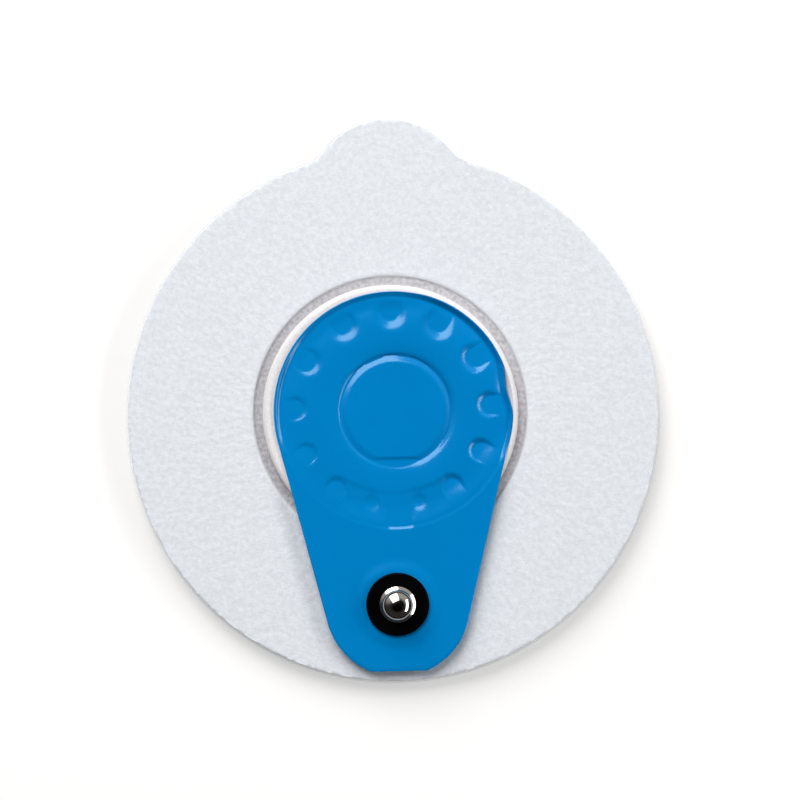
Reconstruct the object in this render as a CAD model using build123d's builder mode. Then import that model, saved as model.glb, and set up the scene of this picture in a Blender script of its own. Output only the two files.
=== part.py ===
from build123d import *
import os
from math import sqrt

# Adhesive ECG electrode with an offset snap, lying snap side up on its release liner.
# Millimetres, +Z up. The origin is on the face that it rests on, beside the middle of the
# gel well. The lift tab points to +Y and the snap lies towards -Y.

# Outline of the backing: a disc with a lift tab
disc_radius = 33.7
disc_shift = 0.4  # disc centre from the gel well, towards the snap
tab_length = 4.0  # beyond the disc's edge
tab_radius = 10.0
tab_blend = 4.5

# Release liner, with a cap formed in it below the gel
liner_margin = 0.3
liner_thickness = 0.2
cap_depth = 2.0
cap_floor_radius = 11.4
cap_draft_run = 0.9
cap_lip = 1.4

# Backing, pressed thinner where the foam ring is welded on
backing_thickness = 0.5
weld_depth = 0.2
weld_band = 1.15

# Gel well: sponge and foam ring share one axis
well_x = -0.35
sponge_radius = 9.3
sponge_clearance = 0.4
sponge_proud = 1.2  # below the adhesive face
foam_radius = 16.25
foam_height = 1.4
foam_shoulder = 0.8

# Cover film: round head over the well and a tail that carries the snap
cover_y = 0.25
film_thickness = 0.3
head_rim = 0.1  # flat edge round the tray
tip_radius = 9.2
tip_reach = 8.5  # snap axis to the straight end
snap_reach = 24.5  # head centre to snap axis

# Relief pressed into the head
tray_depth = 0.5
tray_rim_radius = 15.05
tray_wall_run = 0.35
disc_rise = 0.3  # over the sensor, from the tray's floor
disc_radius_top = 6.35
disc_wall_run = 0.85
chord_run = 0.15  # straight step where the strip leaves the disc
groove_width = 0.15
land_rise = 0.42
land_crown_radius = 9.8
land_shares = (-1, -0.65, -0.25, 0.25, 0.6, 0.85, 1)  # places on the dome, from its crown
pocket_y = 0.6
pocket_inset = 2.3  # tray's foot to the pockets' middles
pocket_floor_radius = 0.85
pocket_rise = 0.12
pocket_draft = 67
pocket_pitch = 29
pocket_count = 11
hollow_x = 3.0  # small hollows on both sides of the strip
hollow_reach = 11.6
hollow_rise = 0.14
hollow_floor_radius = 0.4
hollow_draft = 75
saddle_start = 9.0
saddle_end = 12.6
saddle_dip = 0.14
saddle_draft = 72
apron_start = 11.4
apron_rise = 0.3

# Sensor: coated film disc, strip and ring end under the cover
sensor_radius = 5.8
strip_width = 4.3
strip_thickness = 0.2
strip_end_radius = 4.2
strip_lift_run = 0.4
pad_radius = 4.95
pad_flare = 0.85

# Snap: riveted stud, washer and eyelet
post_radius = 1.2
post_clearance = 0.15
post_wall = 0.35
crimp_clearance = 0.05
eyelet_radius = 4.0
eyelet_thickness = 0.3
eyelet_edge = 0.12
washer_radius = 4.0
washer_thickness = 0.55
washer_edge = 0.2
stud_height = 2.75
stud_base_radius = 2.3
stud_base_height = 0.3
stud_neck_radius = 1.65
stud_head_radius = 1.95
stud_head_height = 0.6  # lower edge of the land to the crown's edge
stud_crown = 0.9
stud_corner = 0.3
stud_top_wall = 0.65

# Levels and places that follow from the sizes
liner_z = cap_depth
backing_z = liner_z + liner_thickness
backing_top = backing_z + backing_thickness
weld_z = backing_top - weld_depth
tail_z = weld_z + foam_height  # underside of the cover's rim and tail
tray_z = tail_z - tray_depth
lane_z = tray_z + strip_thickness
disc_z = tray_z + disc_rise
apron_z = tray_z + apron_rise
pad_z = tail_z + strip_thickness
washer_z = pad_z + film_thickness
stud_z = washer_z + washer_thickness
form_z = backing_z

well_radius = sponge_radius + sponge_clearance
weld_radius = foam_radius + weld_band
cap_mouth_radius = cap_floor_radius + cap_draft_run
head_radius = tray_rim_radius + head_rim
tray_foot_radius = tray_rim_radius - tray_wall_run
pocket_circle_radius = tray_foot_radius - pocket_inset
groove_radius = disc_radius_top + disc_wall_run
land_start_radius = groove_radius + groove_width
apron_end = tray_foot_radius + tray_wall_run * apron_rise / tray_depth
snap_y = cover_y - snap_reach
tip_y = snap_y - tip_reach
post_hole_radius = post_radius + post_clearance
bore_radius = post_radius + crimp_clearance
cavity_z = stud_z + stud_height - stud_top_wall

bottom_up = (Align.CENTER, Align.CENTER, Align.MIN)
well_axis = Axis((well_x, 0, 0), (0, 0, 1))
cover_axis = Axis((0, cover_y, 0), (0, 0, 1))
snap_axis = Axis((0, snap_y, 0), (0, 0, 1))


def upright(x, y):
    # Section plane through an upright axis: local X is +X, local Y is +Z
    return Plane(origin=(x, y, 0), x_dir=(1, 0, 0), z_dir=(0, -1, 0))


def pad_outline(height, margin):
    # Disc and lift tab in one outline
    with BuildSketch(Plane.XY.offset(height)) as outline:
        with Locations((0, -disc_shift)):
            Circle(disc_radius + margin)
        with Locations((0, disc_radius + tab_length - tab_radius - disc_shift)):
            Circle(tab_radius + margin)
    return outline.sketch


def tab_corners(sheet):
    # The two upright edges where the tab leaves the disc
    return sheet.edges().filter_by(Axis.Z).sort_by(Axis.Y)[-2:]


# Release liner: flat film with the gel cap drawn down in the middle
cap_lip_radius = cap_mouth_radius + cap_lip
with BuildPart() as release_liner:
    extrude(pad_outline(liner_z, liner_margin), amount=liner_thickness)
    fillet(tab_corners(release_liner), tab_blend - liner_margin)
    with Locations((well_x, 0, liner_z)):
        Cylinder(cap_lip_radius, liner_thickness, align=bottom_up, mode=Mode.SUBTRACT)
    with BuildSketch(upright(well_x, 0)):
        with BuildLine():
            Polyline(
                (0, 0),
                (cap_floor_radius, 0),
                (cap_mouth_radius, liner_z),
                (cap_lip_radius, liner_z),
            )
            offset(amount=liner_thickness, kind=Kind.INTERSECTION, side=Side.LEFT)
        make_face()
    revolve(axis=well_axis)

# Backing: nonwoven disc with the well's hole and the pressed weld seat
with BuildPart() as backing:
    extrude(pad_outline(backing_z, 0), amount=backing_thickness)
    fillet(tab_corners(backing), tab_blend)
    with Locations((well_x, 0, weld_z)):
        Cylinder(weld_radius, weld_depth, align=bottom_up, mode=Mode.SUBTRACT)
    with Locations((well_x, 0, backing_z)):
        Cylinder(well_radius, backing_thickness, align=bottom_up, mode=Mode.SUBTRACT)

# Section plane along the strip: local X runs from the head's centre towards the snap
strip_plane = Plane(origin=(0, cover_y, 0), x_dir=(0, -1, 0), z_dir=(-1, 0, 0))

# Land: domed ring between groove and tray wall, with pockets open to the wall
land_profile = []
for share in land_shares:
    land_run = tray_foot_radius - land_crown_radius if share > 0 else land_crown_radius - land_start_radius
    land_profile.append((land_crown_radius + share * land_run, tray_z + land_rise * (1 - share**2)))
saddle_z = tray_z + land_rise - saddle_dip
with BuildPart() as land:
    with BuildSketch(upright(0, cover_y)):
        with BuildLine():
            Polyline((land_start_radius, form_z), *land_profile, (tray_foot_radius, form_z), close=True)
        make_face()
    revolve(axis=cover_axis)
    with BuildSketch(Plane.XY.offset(tray_z + pocket_rise)):
        with Locations((well_x, pocket_y)):
            with PolarLocations(
                pocket_circle_radius,
                pocket_count,
                start_angle=90 - pocket_pitch * (pocket_count - 1) / 2,
                angular_range=pocket_pitch * (pocket_count - 1),
                endpoint=True,
            ):
                Circle(pocket_floor_radius)
                Rectangle(2 * pocket_inset, 2 * pocket_floor_radius, align=(Align.MIN, Align.CENTER))
    extrude(amount=land_rise, taper=-pocket_draft, mode=Mode.SUBTRACT)
    with BuildSketch(Plane.XY.offset(tray_z + hollow_rise)):
        with Locations((-hollow_x, cover_y - hollow_reach), (hollow_x, cover_y - hollow_reach)):
            Circle(hollow_floor_radius)
    extrude(amount=land_rise, taper=-hollow_draft, mode=Mode.SUBTRACT)
    with BuildSketch(Plane.XY.offset(saddle_z)):
        with Locations((0, cover_y - (saddle_start + saddle_end) / 2)):
            Rectangle(strip_width, saddle_end - saddle_start)
    extrude(amount=land_rise, taper=-saddle_draft, mode=Mode.SUBTRACT)

# Forming block: its top is the underside of the cover, and what lies below follows it
block_width = 2 * (foam_radius + weld_band)
block_length = 2 * (snap_reach + tip_radius)
with BuildPart() as form:
    with BuildSketch(Plane.XY.offset(form_z)):
        with Locations((0, cover_y)):
            Rectangle(block_width, block_length)
            Circle(tray_rim_radius, mode=Mode.SUBTRACT)
    extrude(amount=tail_z - form_z)
    with BuildSketch(upright(0, cover_y)):
        with BuildLine():
            Polyline(
                (tray_rim_radius, form_z),
                (0, form_z),
                (0, disc_z),
                (disc_radius_top, disc_z),
                (groove_radius, tray_z),
                (tray_foot_radius, tray_z),
                (tray_rim_radius, tail_z),
                close=True,
            )
        make_face()
    revolve(axis=cover_axis)
    with BuildSketch(strip_plane):
        with BuildLine():
            Polyline(
                (sensor_radius, disc_z),
                (sensor_radius + chord_run, lane_z),
                (groove_radius, lane_z),
                (groove_radius, disc_z),
                close=True,
            )
        make_face()
    extrude(amount=strip_width / 2, both=True, mode=Mode.SUBTRACT)
    with BuildSketch(strip_plane):
        with BuildLine():
            Polyline(
                (0, form_z),
                (0, lane_z),
                (tray_rim_radius, lane_z),
                (tray_rim_radius, form_z),
                close=True,
            )
        make_face()
    extrude(amount=strip_width / 2, both=True)
    with BuildSketch(strip_plane):
        with BuildLine():
            Polyline(
                (apron_start, form_z),
                (apron_start, tray_z),
                (apron_end, apron_z),
                (apron_end, form_z),
                close=True,
            )
        make_face()
    extrude(amount=tray_rim_radius, both=True)
    add(land.part)
    with Locations((0, snap_y, tail_z)):
        Cone(pad_radius + pad_flare, pad_radius, strip_thickness, align=bottom_up)

# Cover: one thermoformed film, cut to a round head and a tapered tail
with BuildPart() as cover:
    with Locations((0, 0, film_thickness)):
        add(form.part)
    add(form.part, mode=Mode.SUBTRACT)
    with BuildSketch(Plane.XY.offset(form_z)):
        with Locations((0, cover_y)):
            Circle(head_radius)
        with Locations((0, snap_y)):
            Circle(tip_radius)
        make_hull()
        with Locations((0, tip_y)):
            Rectangle(2 * tip_radius, 2 * tip_radius, align=(Align.CENTER, Align.MAX), mode=Mode.SUBTRACT)
        with Locations((0, snap_y)):
            Circle(post_hole_radius, mode=Mode.SUBTRACT)
    extrude(amount=washer_z - form_z + film_thickness, mode=Mode.INTERSECT)

# Sensor: disc on the sponge, strip through the lane, ring end in the snap pad
strip_lift = sqrt(pad_radius**2 - (strip_width / 2) ** 2)
apron_slope = apron_rise / (apron_end - apron_start)
strip_path = [
    (0, disc_z),
    (sensor_radius - chord_run, disc_z),
    (sensor_radius, lane_z),
    (apron_start + strip_thickness / apron_slope, lane_z),
    (apron_end, apron_z),
    (tray_rim_radius, tail_z),
]
strip_top = strip_path + [
    (snap_reach - strip_lift, tail_z),
    (snap_reach - strip_lift + strip_lift_run, pad_z),
    (snap_reach, pad_z),
]
strip_under = [(reach, height - strip_thickness) for reach, height in strip_top]
with BuildPart() as sensor_strip:
    with BuildSketch(strip_plane):
        with BuildLine():
            Polyline(*strip_top, *reversed(strip_under), close=True)
        make_face()
    extrude(amount=strip_width / 2, both=True)
    with Locations((0, cover_y, disc_z - strip_thickness)):
        Cylinder(sensor_radius - chord_run, strip_thickness, align=bottom_up)
    with Locations((0, snap_y, tail_z)):
        Cylinder(strip_end_radius, strip_thickness, align=bottom_up)
        Cylinder(post_hole_radius, strip_thickness, align=bottom_up, mode=Mode.SUBTRACT)

# Slot that the strip presses into the foam and the sponge, open towards the cover
with BuildPart() as strip_slot:
    with BuildSketch(strip_plane):
        with BuildLine():
            Polyline(
                *strip_under[: len(strip_path)],
                (weld_radius, tail_z - strip_thickness),
                (weld_radius, pad_z),
                (0, pad_z),
                close=True,
            )
        make_face()
    extrude(amount=strip_width / 2, both=True)

# Foam ring: shoulder broken in two slopes, pressed under the cover to the same relief
shoulder_break = foam_shoulder * (1 - sqrt(0.5))
with BuildPart() as foam_ring:
    with BuildSketch(upright(well_x, 0)):
        with BuildLine():
            Polyline(
                (well_radius, weld_z),
                (foam_radius, weld_z),
                (foam_radius, tail_z - foam_shoulder),
                (foam_radius - shoulder_break, tail_z - shoulder_break),
                (foam_radius - foam_shoulder, tail_z),
                (well_radius, tail_z),
                close=True,
            )
        make_face()
    revolve(axis=well_axis)
    add(form.part, mode=Mode.INTERSECT)
    add(strip_slot.part, mode=Mode.SUBTRACT)

# Gel sponge: fills the well, pushes the cover up round the sensor, stands out below
sponge_z = backing_z - sponge_proud
with BuildPart() as gel_sponge:
    with Locations((well_x, 0, form_z)):
        Cylinder(sponge_radius, tail_z - form_z, align=bottom_up)
    add(form.part, mode=Mode.INTERSECT)
    add(strip_slot.part, mode=Mode.SUBTRACT)
    add(sensor_strip.part, mode=Mode.SUBTRACT)
    with Locations((well_x, 0, sponge_z)):
        Cylinder(sponge_radius, sponge_proud, align=bottom_up)

# Washer under the stud
with BuildPart() as stud_washer:
    with Locations((0, snap_y, washer_z)):
        Cylinder(washer_radius, washer_thickness, align=bottom_up)
        Cylinder(post_hole_radius, washer_thickness, align=bottom_up, mode=Mode.SUBTRACT)
    top_rim = stud_washer.edges().group_by(Axis.Z)[-1].sort_by(SortBy.RADIUS)[-1]
    chamfer(top_rim, washer_edge)

# Stud: drawn shell with a flared foot, a waisted neck and a crowned head
crown_z = stud_z + stud_height - stud_crown
land_foot = crown_z - stud_head_height
foot_top = stud_z + stud_base_height
crown_edge = (stud_head_radius, crown_z)
with BuildPart() as snap_stud:
    with BuildSketch(upright(0, snap_y)) as stud_section:
        with BuildLine():
            Polyline(
                (0, cavity_z),
                (bore_radius, cavity_z),
                (bore_radius, stud_z),
                (stud_base_radius, stud_z),
                (stud_base_radius, foot_top),
            )
            ThreePointArc(
                (stud_base_radius, foot_top),
                (stud_neck_radius, (foot_top + land_foot) / 2),
                (stud_head_radius, land_foot),
            )
            Line((stud_head_radius, land_foot), crown_edge)
            TangentArc((0, stud_z + stud_height), crown_edge, tangent=(1, 0))
            Line((0, stud_z + stud_height), (0, cavity_z))
        make_face()
        head_corner = stud_section.vertices().sort_by_distance((*crown_edge, 0))[0]
        fillet(head_corner, stud_corner)
    revolve(axis=snap_axis)

# Eyelet: flange below the tail, with a hollow post riveted into the stud
eyelet_z = tail_z - eyelet_thickness
with BuildPart() as snap_eyelet:
    with Locations((0, snap_y, eyelet_z)):
        Cylinder(eyelet_radius, eyelet_thickness, align=bottom_up)
        Cylinder(post_radius, cavity_z - eyelet_z, align=bottom_up)
        Cylinder(
            post_radius - post_wall,
            cavity_z - eyelet_z - post_wall,
            align=bottom_up,
            mode=Mode.SUBTRACT,
        )
    flange_rims = snap_eyelet.edges().filter_by(GeomType.CIRCLE).sort_by(SortBy.RADIUS)[-2:]
    chamfer(flange_rims, eyelet_edge)

os.makedirs("parts", exist_ok=True)
pieces = {
    "release_liner": release_liner,
    "backing": backing,
    "foam_ring": foam_ring,
    "gel_sponge": gel_sponge,
    "sensor_strip": sensor_strip,
    "cover": cover,
    "stud_washer": stud_washer,
    "snap_stud": snap_stud,
    "snap_eyelet": snap_eyelet,
}
for name, piece in pieces.items():
    piece.part.label = name
    export_step(piece.part, f"parts/{name}.step")
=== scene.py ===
import bpy
from functools import partial
from math import acos, atan2, cos, hypot, pi, radians, sin, sqrt
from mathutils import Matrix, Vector


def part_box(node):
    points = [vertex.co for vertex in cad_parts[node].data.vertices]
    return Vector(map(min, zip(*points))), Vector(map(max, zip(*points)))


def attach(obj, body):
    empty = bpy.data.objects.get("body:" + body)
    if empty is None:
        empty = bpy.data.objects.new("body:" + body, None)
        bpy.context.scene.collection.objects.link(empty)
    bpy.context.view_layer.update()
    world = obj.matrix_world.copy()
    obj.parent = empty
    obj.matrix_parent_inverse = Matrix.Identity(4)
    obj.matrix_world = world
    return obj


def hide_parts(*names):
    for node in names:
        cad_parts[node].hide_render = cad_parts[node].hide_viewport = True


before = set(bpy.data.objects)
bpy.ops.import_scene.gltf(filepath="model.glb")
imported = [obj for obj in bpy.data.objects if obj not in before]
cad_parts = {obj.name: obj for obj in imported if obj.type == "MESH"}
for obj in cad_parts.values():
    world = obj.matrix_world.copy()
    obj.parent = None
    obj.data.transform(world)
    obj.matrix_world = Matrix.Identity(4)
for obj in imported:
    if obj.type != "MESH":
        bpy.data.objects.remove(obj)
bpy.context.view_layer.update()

# ECG electrode, snap side up on its release liner. Metres, +Z up, lift tab towards +Y.
mm = 0.001
sharpAngle = radians(50)  # edges that bend more than this are drawn sharp
eased = {"interpolation_type": "SMOOTHSTEP"}


def boxOf(node):
    return [Vector(corner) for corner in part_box(node)]


linerLow, linerHigh = boxOf("release_liner")
backingLow, backingHigh = boxOf("backing")
foamLow, foamHigh = boxOf("foam_ring")
spongeLow, spongeHigh = boxOf("gel_sponge")
coverLow, coverHigh = boxOf("cover")
washerLow, washerHigh = boxOf("stud_washer")
studLow, studHigh = boxOf("snap_stud")
eyeletLow, eyeletHigh = boxOf("snap_eyelet")

wellAxis = ((foamLow.x + foamHigh.x) / 2, (foamLow.y + foamHigh.y) / 2)
snapAxis = ((washerLow.x + washerHigh.x) / 2, (washerLow.y + washerHigh.y) / 2)
headRadius = (coverHigh.x - coverLow.x) / 2
headAxis = ((coverLow.x + coverHigh.x) / 2, coverHigh.y - headRadius)
print("frame loaded, well axis", wellAxis, "snap axis", snapAxis)


def linear(hexColour):
    channels = [int(hexColour[i:i + 2], 16) / 255 for i in (1, 3, 5)]
    return [c / 12.92 if c <= 0.04045 else ((c + 0.055) / 1.055) ** 2.4 for c in channels] + [1.0]


def feed(node, sources):
    # a node or a socket is linked, anything else becomes the socket's value
    for socket, source in sources.items():
        if isinstance(source, bpy.types.Node):
            source = next(output for output in source.outputs if output.enabled)
        if isinstance(source, bpy.types.NodeSocket):
            node.id_data.links.new(source, node.inputs[socket])
        else:
            node.inputs[socket].default_value = source


def addNode(tree, kind, sources=(), **settings):
    # shader nodes go by their short name
    node = tree.nodes.new(kind if "Node" in kind else "ShaderNode" + kind)
    for name, value in settings.items():
        setattr(node, name, value)
    feed(node, sources if isinstance(sources, dict) else dict(enumerate(sources)))
    return node


def startMaterial(name, values):
    material = bpy.data.materials.new(name)
    material.use_nodes = True
    shader = material.node_tree.nodes["Principled BSDF"]
    feed(shader, values)
    add = partial(addNode, material.node_tree)
    return material, shader, add, add("TexCoord").outputs["Object"]


def makePiece(name, points, faces, material):
    mesh = bpy.data.meshes.new(name)
    mesh.from_pydata(points, [], faces)
    mesh.materials.append(material)
    mesh.shade_smooth()
    mesh.set_sharp_from_angle(angle=sharpAngle)
    piece = bpy.data.objects.new(name, mesh)
    bpy.context.collection.objects.link(piece)
    return piece


def setWeights(piece, name, weights):
    attribute = piece.data.attributes.new(name, "FLOAT", "POINT")
    attribute.data.foreach_set("value", weights)


def settle(piece):
    # modifiers become plain mesh
    piece.data.update()
    graph = bpy.context.evaluated_depsgraph_get()
    mesh = bpy.data.meshes.new_from_object(piece.evaluated_get(graph))
    mesh.set_sharp_from_angle(angle=sharpAngle)
    piece.modifiers.clear()
    piece.data = mesh


def runTree(piece, tree, values):
    modifier = piece.modifiers.new(tree.name, "NODES")
    modifier.node_group = tree
    for item in tree.interface.items_tree:
        if item.in_out == "INPUT" and item.name in values:
            modifier[item.identifier] = values[item.name]
    settle(piece)


def startTree(name, sizes):
    tree = bpy.data.node_groups.new(name, "GeometryNodeTree")
    tree.interface.new_socket(name="Geometry", in_out="INPUT", socket_type="NodeSocketGeometry")
    for size in sizes:
        tree.interface.new_socket(name=size, in_out="INPUT", socket_type="NodeSocketFloat")
    tree.interface.new_socket(name="Material", in_out="INPUT", socket_type="NodeSocketMaterial")
    tree.interface.new_socket(name="Geometry", in_out="OUTPUT", socket_type="NodeSocketGeometry")
    return tree, partial(addNode, tree), addNode(tree, "NodeGroupInput").outputs


def endTree(tree, geometry, material):
    whole = addNode(tree, "GeometryNodeRealizeInstances", {"Geometry": geometry})
    dressed = addNode(tree, "GeometryNodeSetMaterial", {"Geometry": whole, "Material": material})
    addNode(tree, "NodeGroupOutput", [dressed])


def raysToMesh(columns, closed):
    # columns go round counter-clockwise, each from the bottom outwards, up and back in;
    # an open column starts and ends on the axis
    rays = len(columns)
    if closed:
        rows = len(columns[0])
        points = [point for column in columns for point in column]
        faces = []
        for i in range(rays):
            a, b = i * rows, (i + 1) % rays * rows
            for j in range(rows):
                k = (j + 1) % rows
                faces.append((a + j, b + j, b + k, a + k))
        return points, faces
    rows = len(columns[0]) - 2
    points = [columns[0][0], columns[0][-1]]
    points += [point for column in columns for point in column[1:-1]]
    faces = []
    for i in range(rays):
        a, b = 2 + i * rows, 2 + (i + 1) % rays * rows
        faces.append((0, b, a))
        for j in range(rows - 1):
            faces.append((a + j, b + j, b + j + 1, a + j + 1))
        faces.append((a + rows - 1, b + rows - 1, 1))
    return points, faces


def bentPath(corners, steps=6):
    # corners are (r, z, bend); each bend becomes a curve with a short straight run at both ends
    path = [Vector(corners[0][:2])]
    for before, corner, after in zip(corners, corners[1:], corners[2:]):
        here = Vector(corner[:2])
        if len(corner) == 2:
            path.append(here)
            continue
        bend = corner[2]
        back, ahead = Vector(before[:2]) - here, Vector(after[:2]) - here
        start, end = (here + way.normalized() * bend for way in (back, ahead))
        path.append(start + back.normalized() * min(bend / 4, (back.length - bend) / 2))
        for step in range(steps + 1):
            t = step / steps
            path.append(start * (1 - t) ** 2 + here * 2 * t * (1 - t) + end * t**2)
        path.append(end + ahead.normalized() * min(bend / 4, (ahead.length - bend) / 2))
    return path + [Vector(corners[-1][:2])]


def spot(axis, r, angle, z):
    return axis[0] + r * cos(angle), axis[1] + r * sin(angle), z


def turnedPiece(name, path, axis, rays, closed, material):
    # the path's (r, z) points swung round an upright axis
    angles = [2 * pi * i / rays for i in range(rays)]
    columns = [[spot(axis, r, angle, z) for r, z in path] for angle in angles]
    return makePiece(name, *raysToMesh(columns, closed), material)


# Camera straight above, at the photograph's scale and slight turn
shot = {
    "frameWidth": 101.7 * mm,  # what 800 pixels show at the backing
    "centre": (0.90 * mm, 1.60 * mm),
    "roll": radians(1.35),
    "lens": 150,
    "sensor": 36,
}
cameraData = bpy.data.cameras.new("photoCamera")
cameraData.lens = shot["lens"]
cameraData.sensor_width = shot["sensor"]
camera = bpy.data.objects.new("photoCamera", cameraData)
bpy.context.collection.objects.link(camera)
reach = shot["frameWidth"] * shot["lens"] / shot["sensor"]
camera.location = (*shot["centre"], backingHigh.z + reach)
camera.rotation_euler = (0, 0, -shot["roll"])
bpy.context.scene.camera = camera
bpy.context.scene.view_settings.view_transform = "Standard"
print("camera set", tuple(camera.location))

# Broad softbox from the top left, a long strip at the right, walls that fade towards the near side
lamps = {
    "keySoftbox": {"place": (-0.22, 0.49, 0.50), "size": (0.54, 0.64), "watts": 6.5},
    "sideSoftbox": {"place": (0.58, -0.06, 0.38), "size": (0.80, 0.16), "watts": 2.4},
}
for name, lamp in lamps.items():
    lampData = bpy.data.lights.new(name, "AREA")
    lampData.shape = "RECTANGLE"
    lampData.size, lampData.size_y = lamp["size"]
    lampData.energy = lamp["watts"]
    lampObject = bpy.data.objects.new(name, lampData)
    lampObject.location = lamp["place"]
    lampObject.rotation_euler = (-Vector(lamp["place"])).to_track_quat("-Z", "Y").to_euler()
    bpy.context.collection.objects.link(lampObject)

room = {
    "wall": "#c4c4c6",
    "dark": "#0e0e10",
    "strength": 0.9,
    "near": 0.075,  # share of the strength left on the near side
    "bandHeight": 0.48,  # walls are lit round this height
    "bandFade": (0.16, 0.40),
    "nearFade": (-0.1, 0.6),
}
world = bpy.data.worlds.new("room")
world.use_nodes = True
bpy.context.scene.world = world
roomTree = world.node_tree
roomWay = addNode(roomTree, "SeparateXYZ", [addNode(roomTree, "TexCoord").outputs["Generated"]]).outputs
roomOff = addNode(roomTree, "Math", [roomWay["Z"], room["bandHeight"]], operation="SUBTRACT")
roomAway = addNode(roomTree, "Math", [roomOff], operation="ABSOLUTE")
roomTone = addNode(roomTree, "MapRange", [roomAway, *room["bandFade"]], **eased)
roomColour = addNode(roomTree, "Mix", {
    "Factor": roomTone, "A": linear(room["wall"]), "B": linear(room["dark"])}, data_type="RGBA")
roomNear = room["strength"] * room["near"]
roomFar = addNode(roomTree, "MapRange", [
    roomWay["Y"], *room["nearFade"], roomNear, room["strength"]], **eased)
feed(roomTree.nodes["Background"], {"Color": roomColour, "Strength": roomFar})

# White table: plain paint that keeps the shadow, lifted to white for the camera alone
table = {"size": 1.2, "paint": "#c6c4c2", "lift": 0.48}
tableMaterial, tableShader, addTable = startMaterial("white_paint_matt", {
    "Base Color": linear(table["paint"]), "Roughness": 0.9, "Specular IOR Level": 0.0,
    "Emission Color": (1, 1, 1, 1)})[:3]
tableRay = addTable("LightPath").outputs["Is Camera Ray"]
tableLift = addTable("Math", [tableRay, table["lift"]], operation="MULTIPLY")
feed(tableShader, {"Emission Strength": tableLift})
half = table["size"] / 2
floor = makePiece("table_top", [(-half, -half, 0), (half, -half, 0), (half, half, 0), (-half, half, 0)],
                  [(0, 1, 2, 3)], tableMaterial)
print("light and table set")

# Outline that liner and backing share: a disc, a lift tab and the two blends between them
pad = {
    "discRadius": (backingHigh.x - backingLow.x) / 2,
    "tabRadius": 10.0 * mm,
    "tabBlend": 4.5 * mm,
    "rays": 720,
}
discY = backingLow.y + pad["discRadius"]
tabY = backingHigh.y - pad["tabRadius"]


def rayToCircle(angle, centre, radius, side):
    x, y = centre[0] - wellAxis[0], centre[1] - wellAxis[1]
    along = x * cos(angle) + y * sin(angle)
    return along + side * sqrt(max(radius**2 - x**2 - y**2 + along**2, 0))


def padReach(angle, margin):
    disc, tab = pad["discRadius"] + margin, pad["tabRadius"] + margin
    blend = pad["tabBlend"] - margin
    apart = tabY - discY
    rise = ((disc + blend) ** 2 - (tab + blend) ** 2 + apart**2) / (2 * apart)
    sideX = sqrt((disc + blend) ** 2 - rise**2)
    sideX = sideX if cos(angle) > 0 else -sideX
    blendAt = (sideX, discY + rise)  # middle of the blend's circle, outside the pad
    share = disc / (disc + blend)
    onDisc = (sideX * share, discY + rise * share)
    share = tab / (tab + blend)
    onTab = (sideX * share, tabY + (blendAt[1] - tabY) * share)
    slope = abs(angle - pi / 2)
    if slope < abs(atan2(onTab[1] - wellAxis[1], onTab[0] - wellAxis[0]) - pi / 2):
        return rayToCircle(angle, (0, tabY), tab, 1)
    if slope < abs(atan2(onDisc[1] - wellAxis[1], onDisc[0] - wellAxis[0]) - pi / 2):
        return rayToCircle(angle, blendAt, blend, -1)
    return rayToCircle(angle, (0, discY), disc, 1)


padAngles = [-pi / 2 + 2 * pi * i / pad["rays"] for i in range(pad["rays"])]

# Release liner: clear PET film, thermoformed into a cap under the gel. Hard gloss, see-through
liner = {
    "margin": 0.3 * mm,
    "thickness": 0.2 * mm,
    "capFloorRadius": 11.4 * mm,
    "capMouthRadius": 12.3 * mm,
    "bend": 0.4 * mm,
    "tint": "#eef3f6",
    "rippleSize": 9 * mm,
}
linerMaterial, linerShader, addLiner, linerPlace = startMaterial("clear_pet_film", {
    "Base Color": linear(liner["tint"]), "Roughness": 0.1, "IOR": 1.57, "Alpha": 0.15})
linerRipple = addLiner("TexNoise", {"Vector": linerPlace, "Scale": 1 / liner["rippleSize"], "Detail": 1.0})
linerBump = addLiner("Bump", {"Height": linerRipple, "Strength": 0.15, "Distance": 0.3 * mm})
feed(linerShader, {"Normal": linerBump})

linerTop = linerHigh.z
linerFlat = linerTop - liner["thickness"]
linerColumns = []
for angle in padAngles:
    edge = padReach(angle, liner["margin"])
    under = bentPath([
        (0, linerLow.z),
        (liner["capFloorRadius"], linerLow.z, liner["bend"]),
        (liner["capMouthRadius"], linerFlat, liner["bend"]),
        (edge, linerFlat)])
    over = bentPath([
        (edge, linerTop),
        (liner["capMouthRadius"] - liner["thickness"] / 2, linerTop, liner["bend"]),
        (liner["capFloorRadius"] - liner["thickness"] / 2, linerLow.z + liner["thickness"], liner["bend"]),
        (0, linerLow.z + liner["thickness"])])
    linerColumns.append([spot(wellAxis, r, angle, z) for r, z in under + over])
linerPiece = makePiece("liner_film", *raysToMesh(linerColumns, False), linerMaterial)
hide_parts("release_liner")
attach(linerPiece, "root")
print("liner done", len(linerPiece.data.polygons), "faces")

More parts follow.
